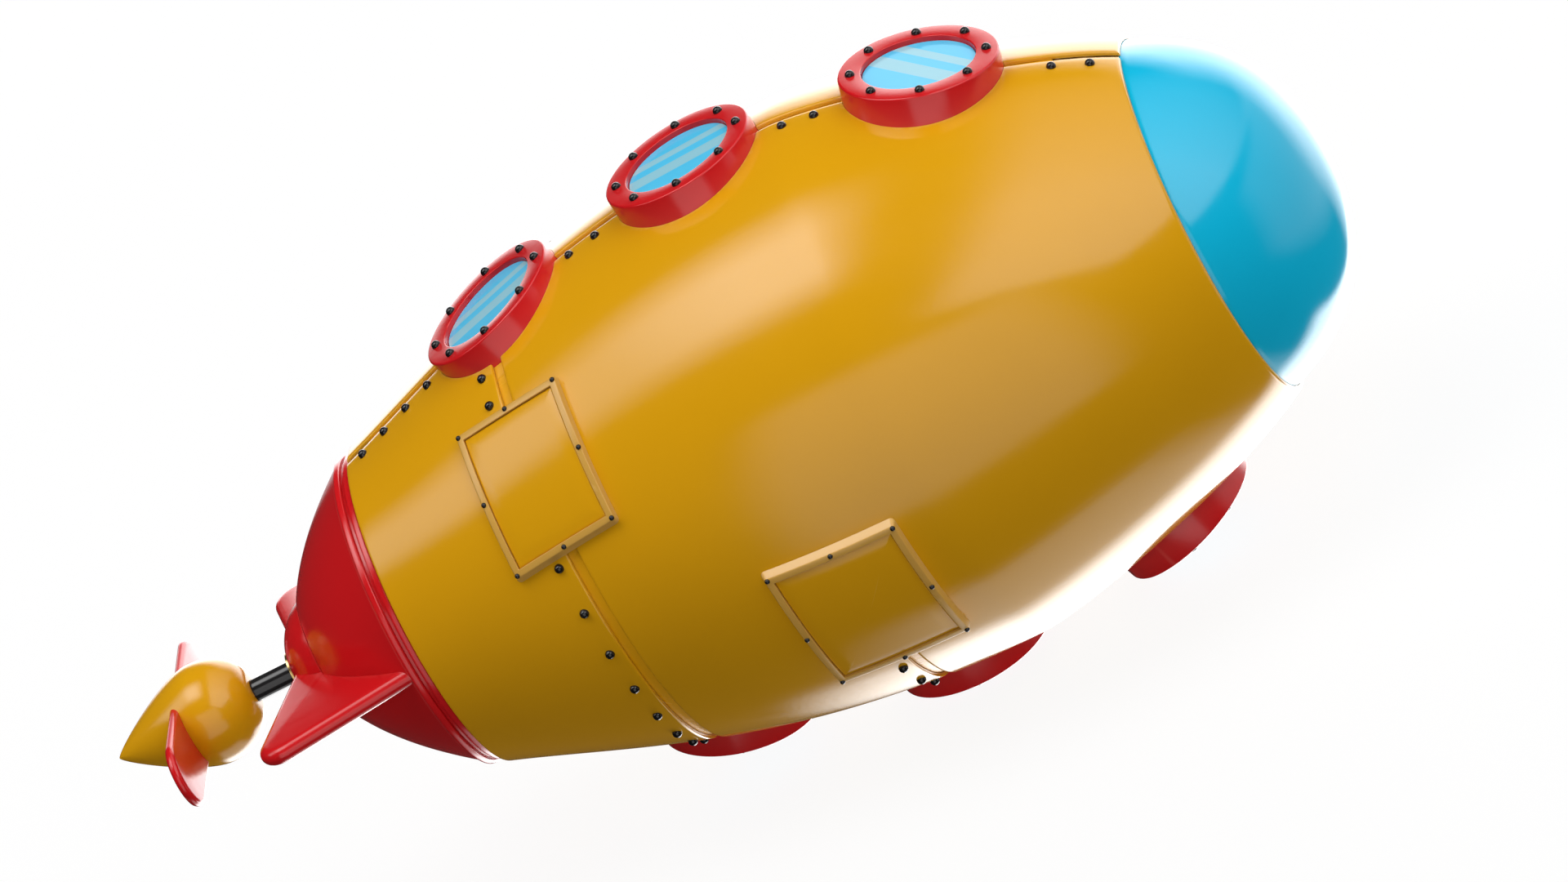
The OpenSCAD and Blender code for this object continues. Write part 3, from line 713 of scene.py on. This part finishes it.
def panel_rivet_places():
    for panel in PANELS.values():
        station, angle, length, width = panel
        for i in (-1, 0, 1):
            for j in (-1, 0, 1):
                if i or j:
                    along, across = i * (length - PANEL_LEDGE) / 2, j * (width - PANEL_LEDGE) / 2
                    x = station + along * math.cos(hull_lean(station))
                    turn = math.degrees(math.asin(across / (hull_at(x) + PANEL_HEIGHT)))
                    rise = Matrix.Translation((0, 0, hull_at(x) + PANEL_HEIGHT - PANEL_RIVET_SEAT))
                    lean = Matrix.Rotation(-hull_lean(station), 4, "Y")
                    yield outward(x, angle + turn) @ rise @ lean
                    yield outward(x, 180 - angle - turn) @ rise @ lean


def make_rivets():
    black = MATERIALS["black_enamel"]
    seam = [ball_head(SEAM_RIVET, place) for place in seam_rivet_places()]
    build("seam_rivet_heads", *join(seam), black, "hull", ["seam_rivets"])
    rings, resting = [], []
    for index, name in enumerate(PORTHOLE_NAMES):
        for row, angle in ROWS.items():
            heads = resting if (name, row) == ("mid", "bottom") else rings
            heads += [ball_head(RING_RIVET, place) for place in ring_rivet_places(index, angle)]
    build("porthole_rivet_heads", *join(rings), black, "hull", ["porthole_rivets"])
    build("resting_rivet_heads", *join(resting), black, "hull", ["resting_rivets"])
    panel = [ball_head(PANEL_RIVET, place, 20) for place in panel_rivet_places()]
    build("panel_rivet_heads", *join(panel), black, "hull", ["panel_rivets"])


make_rivets()


# ---- Access panels ----

def rounded_rectangle(length, width, radius, side=24, corner=6):
    """Points round a rectangle, the same number for any size."""
    points = []
    half_l, half_w = length / 2 - radius, width / 2 - radius
    for quarter, (sx, sy) in enumerate(((1, 1), (-1, 1), (-1, -1), (1, -1))):
        for k in range(corner + 1):
            a = math.pi / 2 * (quarter + k / corner)
            points.append((sx * half_l + radius * math.cos(a), sy * half_w + radius * math.sin(a)))
        if quarter % 2 == 0:
            straight = [(sx * half_l * (1 - 2 * k / side), sy * (half_w + radius)) for k in range(1, side)]
        else:
            straight = [(sx * (half_l + radius), sy * half_w * (1 - 2 * k / side)) for k in range(1, side)]
        points.extend(straight)
    return points


def panel_loop(panel, inset, height, corner):
    _, _, length, width = panel
    outline = rounded_rectangle(length - 2 * inset, width - 2 * inset, max(0.12, corner - inset))
    return [panel_point(panel, u, v, height) for u, v in outline]


def make_frame(name, panel):
    """A raised frame with a sloping outer wall, a flat ledge and a steep inner wall."""
    profile = rounded([
        (0, 0.03, 0),
        (0.45, PANEL_HEIGHT, 0.25),
        (PANEL_LEDGE, PANEL_HEIGHT, 0.14),
        (PANEL_LEDGE + 0.06, 0.03, 0),
    ], 4)
    points, faces = swept_loops([panel_loop(panel, e, h, 0.9) for e, h in profile])
    nodes = ("frame_" + name + "_right", "frame_" + name + "_left")
    both_sides("frame_" + name, points, faces, MATERIALS["rubbed_yellow"], nodes)


def make_cover(name, panel):
    """A pressed cover inside the frame, with soft edges and a slight dome."""
    edge = PANEL_LEDGE + 0.12
    low, crown, soft = PANEL_HEIGHT - 0.5, PANEL_HEIGHT - 0.3, 2.6
    loops = [panel_loop(panel, edge, 0.03, 0.9), panel_loop(panel, edge, low - 0.12, 0.9)]
    for k in range(9):
        t = k / 8
        height = low + (crown - low) * math.sin(math.pi / 2 * t)
        loops.append(panel_loop(panel, edge + 0.1 + soft * t, height, 1.2))
    _, _, length, width = panel
    inset = edge + 0.1 + soft
    last = rounded_rectangle(length - 2 * inset, width - 2 * inset, 0.12)
    for share in (0.85, 0.7, 0.55, 0.4, 0.25, 0.1):
        loops.append([panel_point(panel, u * share, v * share, crown) for u, v in last])
    points, faces = capped_loops(loops)
    nodes = ("cover_" + name + "_right", "cover_" + name + "_left")
    both_sides("cover_" + name, points, faces, MATERIALS["yellow_enamel"], nodes)


for panel_name, panel_sizes in PANELS.items():
    make_frame(panel_name, panel_sizes)
    make_cover(panel_name, panel_sizes)


# ---- Nose ----

def make_nose():
    rim = NOSE_RIM_RADIUS - SHEET - 0.12
    outline = cubic([
        (HULL_LENGTH, rim),
        (HULL_LENGTH + 0.72 * NOSE_LENGTH, rim - 6),
        (HULL_LENGTH + NOSE_LENGTH, 0.46 * rim),
        (HULL_LENGTH + NOSE_LENGTH, 0),
    ], 56)
    profile = [(HULL_LENGTH - 1.2, 0), (HULL_LENGTH - 1.2, rim + SEAT_GAP)] + outline
    points, faces = lathe(profile, ABOUT_AXIS, 160, closed=False)
    build("nose_cone", points, faces, MATERIALS["blue_enamel"], "hull", ["nose_dome"])


make_nose()


# ---- Tail ----

def make_tail():
    red = MATERIALS["red_enamel"]
    lip, groove = 1.35, 0.9
    aft, rim = -FLANGE_LENGTH, FLANGE_RADIUS
    flange = rounded([
        (-SEAT_GAP, FLANGE_BORE, 0),
        (aft, FLANGE_BORE, 0),
        (aft, rim, 0.45),
        (aft + lip, rim, 0.35),
        (aft + lip, rim - groove, 0.08),
        (-lip, rim - groove, 0.08),
        (-lip, rim, 0.35),
        (-SEAT_GAP, rim, 0.35),
        (-SEAT_GAP, AFT_RIM_RADIUS - 2 * SHEET, 0),
        (4, AFT_RIM_RADIUS - 2 * SHEET, 0),
        (4, FLANGE_BORE, 0),
    ], 4)
    points, faces = lathe(flange, ABOUT_AXIS, 160)
    build("tail_collar", points, faces, red, "hull", ["tail_flange"])
    outline = cubic(TAIL_CURVE, 48)
    inside = [(x, r - 1) for x, r in reversed(outline)]
    points, faces = lathe(outline + inside, ABOUT_AXIS, 160)
    build("tail_cone", points, faces, red, "hull", ["tail_dome"])
    cap = []
    for k in range(33):
        a = math.radians(115 + (165.5 - 115) * k / 32)
        cap.append((CAP_CENTRE_X + CAP_RADIUS * math.cos(a), CAP_RADIUS * math.sin(a)))
    hollow = [(x + 1, r - 0.6) for x, r in reversed(cap) if r > 4.2]
    points, faces = lathe(cap + [(cap[-1][0] + 1.2, cap[-1][1])] + hollow, ABOUT_AXIS, 128)
    build("tail_button", points, faces, red, "hull", ["tail_cap"])


make_tail()


def resampled(outline, count):
    """The same closed outline with points at even distances."""
    ring = [Vector(p) for p in outline]
    lengths = [(ring[(i + 1) % len(ring)] - ring[i]).length for i in range(len(ring))]
    total = sum(lengths)
    points, i, passed = [], 0, 0
    for k in range(count):
        target = total * k / count
        while passed + lengths[i] < target:
            passed += lengths[i]
            i += 1
        share = (target - passed) / lengths[i]
        points.append(tuple(ring[i].lerp(ring[(i + 1) % len(ring)], share)))
    return points


def belt(circles, step=5):
    """The outline of a belt drawn tight round circles of (x, y, radius), anticlockwise."""
    points = set()
    for x, y, radius in circles:
        for k in range(0, 360, step):
            a = math.radians(k)
            points.add((x + radius * math.cos(a), y + radius * math.sin(a)))

    def chain(ordered):
        kept = []
        for p in ordered:
            while len(kept) > 1:
                (ax, ay), (bx, by) = kept[-2:]
                if (bx - ax) * (p[1] - ay) - (by - ay) * (p[0] - ax) > 0:
                    break
                kept.pop()
            kept.append(p)
        return kept[:-1]

    return chain(sorted(points)) + chain(sorted(points, reverse=True))


def make_fins():
    """Swept back from the flange with a round tip, and trimmed to stand on the tail."""
    root = 2
    outline = resampled(belt([
        (FIN_TIP_X, FIN_REACH - FIN_TIP, FIN_TIP),
        (2, 27.0, root),
        (2, 5.6, root),
        (-26.3, 5.6, root),
    ]), 240)
    reach = CAP_RADIUS + FIN_GAP
    dome = [(x, r + FIN_GAP) for x, r in reversed(cubic(TAIL_CURVE, 48))]
    core = [(CAP_CENTRE_X - reach, 0)]
    for k in range(1, 40):
        x = CAP_CENTRE_X - reach * math.cos(math.pi / 2 * k / 40)
        if x < dome[0][0]:
            core.append((x, math.sqrt(reach ** 2 - (x - CAP_CENTRE_X) ** 2)))
    core += dome + [(-FLANGE_LENGTH - FIN_GAP, FIN_REACH), (8, FIN_REACH), (8, 0)]
    for name, side in (("fin_right", 180), ("fin_left", 0)):
        points, faces = round_plate(outline, FIN_THICKNESS, turned(side - FIN_TURN, "X"))
        piece = build(name + "_blade", points, faces, MATERIALS["red_moulding"], "hull", [name])
        cut(piece, [lathe(core, ABOUT_AXIS, 160, closed=False)])


make_fins()


# ---- Propeller ----

def make_propeller():
    tip = cubic([
        (HUB_TIP_X, 0),
        (HUB_TIP_X, 1),
        (HUB_WIDEST_X - 5.5, HUB_RADIUS),
        (HUB_WIDEST_X, HUB_RADIUS),
    ], 40)
    front = cubic([
        (HUB_WIDEST_X, HUB_RADIUS),
        (HUB_WIDEST_X + 5.2, HUB_RADIUS),
        (HUB_FRONT_X, 6.4),
        (HUB_FRONT_X, SHAFT_RADIUS + 0.6),
    ], 32)
    profile = tip + front[1:] + [(HUB_FRONT_X, SHAFT_RADIUS + 0.02), (HUB_FRONT_X - 3, 0)]
    points, faces = lathe(profile, ABOUT_AXIS, 128, closed=False)
    build("propeller_boss", points, faces, MATERIALS["yellow_moulding"], "propeller", ["prop_hub"])
    radius = BLADE_WIDTH / 2
    outline = []
    for side in (1, -1):
        for k in range(33):
            a = math.radians(-90 + 180 * k / 32)
            along = BLADE_REACH - radius + radius * math.cos(a)
            outline.append((side * along, side * radius * math.sin(a)))
    place = Matrix.Translation((BLADE_X, 0, 0)) @ turned(-FIN_TURN, "X") @ ABOUT_AXIS
    points, faces = round_plate(resampled(outline, 240), BLADE_THICKNESS, place)
    build("propeller_blades", points, faces, MATERIALS["red_moulding"], "propeller", ["blade_pair"])


make_propeller()


def make_shaft():
    """The black shaft that the propeller turns on, from inside the hub to the clockwork."""
    start, end, edge = SHAFT_START_X, SHAFT_END_X, 0.3
    profile = [(start, 0), (start, SHAFT_RADIUS - edge), (start + edge, SHAFT_RADIUS),
               (end - edge, SHAFT_RADIUS), (end, SHAFT_RADIUS - edge), (end, 0)]
    points, faces = lathe(profile, ABOUT_AXIS, 64, closed=False)
    build("propeller_shaft", points, faces, MATERIALS["black_enamel"], "propeller", ["prop_shaft"])


make_shaft()

finish_cad_nodes()


# ---- Studio ----

def make_floor():
    """A flat floor that turns up into a bowl all round. Sizes are in metres."""
    flat, bowl, steps = 6, 4, 24
    profile = [(0, 0), (0, flat)]
    for k in range(1, steps + 1):
        a = math.pi / 2 * k / steps
        profile.append((bowl - bowl * math.cos(a), flat + bowl * math.sin(a)))
    points, faces = lathe(profile, Matrix.Identity(4), 96, closed=False)
    mesh = bpy.data.meshes.new("studio_floor")
    mesh.from_pydata(points, [], faces)
    mesh.shade_smooth()
    floor = bpy.data.objects.new("studio_floor", mesh)
    bpy.context.scene.collection.objects.link(floor)
    s = Shader("floor_white")
    s.set(Base_Color=(0.05, 0.05, 0.05, 1), Emission_Color=(1, 1, 1, 1), Emission_Strength=0.91)
    s.link(s.mapped(s.noise(3, 2), 0.3, 0.7, 0.85, 0.95), s.surface.inputs["Roughness"])
    mesh.materials.append(s.material)
    floor.visible_glossy = False
    floor.visible_diffuse = False
    floor.visible_shadow = False


def direction(azimuth, elevation):
    a, e = math.radians(azimuth), math.radians(elevation)
    return Vector((math.cos(e) * math.cos(a), math.cos(e) * math.sin(a), math.sin(e)))


# Soft boxes, each on a plane square to a direction. Its sides and its heights are a low end, a high end and
# the blur at each of them, as tangents. Then come the turn about the direction and the strength.
AMBIENT = 0.03
SOFT_BOXES = [
    ((0, 90), (-0.47, 0.14, 0.13, 0.15), (-0.10, 0.45, 0.10, 0.15), 0, 2.6),
    ((0, 90), (-0.47, 0.14, 0.13, 0.15), (-0.10, 1.70, 0.10, 0.20), 0, 2.3),
    ((19.7, 42.8), (-2.25, 0, 0.05, 0.70), (-0.48, 0.48, 0.03, 0.06), -15.8, 2.3),
    ((-90, 0), (-0.44, 0.50, 0.06, 0.06), (-0.53, 0.58, 0.06, 0.06), 0, 1.1),
    ((85, 8), (-0.58, 0.55, 0.25, 0.12), (-0.80, 0.22, 0.30, 0.12), -30, 3.6),
    ((15, -8), (-0.75, 0.80, 0.25, 0.25), (-0.40, 0.42, 0.10, 0.06), 0, 0.8),
    ((0, -90), (-0.30, 0.35, 0.08, 0.10), (-0.30, 0.25, 0.08, 0.06), 0, 1.5),
    ((0, -90), (0.30, 1.80, 0.10, 0.20), (-0.33, 0.55, 0.08, 0.06), 0, 6.0),
]


def make_world():
    world = bpy.data.worlds.new("studio")
    bpy.context.scene.world = world
    world.use_nodes = True
    tree = world.node_tree
    tree.nodes.clear()
    ray = tree.nodes.new("ShaderNodeTexCoord").outputs["Generated"]

    def math_node(operation, *values, clamp=False):
        node = tree.nodes.new("ShaderNodeMath")
        node.operation = operation
        node.use_clamp = clamp
        for socket, value in zip(node.inputs, values):
            if isinstance(value, (int, float)):
                socket.default_value = value
            else:
                tree.links.new(value, socket)
        return node.outputs[0]

    def along(vector):
        node = tree.nodes.new("ShaderNodeVectorMath")
        node.operation = "DOT_PRODUCT"
        tree.links.new(ray, node.inputs[0])
        node.inputs[1].default_value = vector
        return node.outputs["Value"]

    def inside(value, low, high, low_blur, high_blur):
        above = math_node("MULTIPLY_ADD", value, 0.5 / low_blur, 0.5 - 0.5 * low / low_blur, clamp=True)
        below = math_node("MULTIPLY_ADD", value, -0.5 / high_blur, 0.5 + 0.5 * high / high_blur, clamp=True)
        return math_node("MULTIPLY", above, below)

    total = AMBIENT
    for (azimuth, elevation), sides, heights, roll, strength in SOFT_BOXES:
        middle = direction(azimuth, elevation)
        level = direction(azimuth + 90, 0)
        up = middle.cross(level)
        spin = Matrix.Rotation(math.radians(roll), 3, middle)
        depth = math_node("MAXIMUM", along(middle), 0.001)
        x = math_node("DIVIDE", along(spin @ level), depth)
        y = math_node("DIVIDE", along(spin @ up), depth)
        lit = math_node("MULTIPLY", inside(x, *sides), inside(y, *heights))
        lit = math_node("MULTIPLY", lit, math_node("GREATER_THAN", along(middle), 0.0))
        total = math_node("MULTIPLY_ADD", lit, strength, total)
    background = tree.nodes.new("ShaderNodeBackground")
    background.inputs["Color"].default_value = (1, 1, 1, 1)
    tree.links.new(total, background.inputs["Strength"])
    output = tree.nodes.new("ShaderNodeOutputWorld")
    tree.links.new(background.outputs[0], output.inputs["Surface"])


CAMERA_AZIMUTH = -77.716
CAMERA_ELEVATION = 22.822
CAMERA_ROLL = -31.391
CAMERA_DISTANCE = 2.4794
CAMERA_LENS = 315.05
CAMERA_AIM = Vector((0.0120, 0.00125, AXIS_Z * MM - 0.00316))


def make_camera():
    camera = bpy.data.cameras.new("camera")
    camera.lens = CAMERA_LENS
    camera.sensor_width = 36
    camera.clip_end = 100
    holder = bpy.data.objects.new("camera", camera)
    bpy.context.scene.collection.objects.link(holder)
    away = direction(CAMERA_AZIMUTH, CAMERA_ELEVATION)
    level = direction(CAMERA_AZIMUTH + 90, 0)
    up = away.cross(level)
    roll = Matrix.Rotation(math.radians(CAMERA_ROLL), 3, away)
    level, up = roll @ level, roll @ up
    turn = Matrix((level, up, away)).transposed().to_4x4()
    holder.matrix_world = Matrix.Translation(CAMERA_AIM + away * CAMERA_DISTANCE) @ turn
    bpy.context.scene.camera = holder


make_floor()
make_world()
make_camera()
bpy.context.scene.view_settings.view_transform = "Standard"
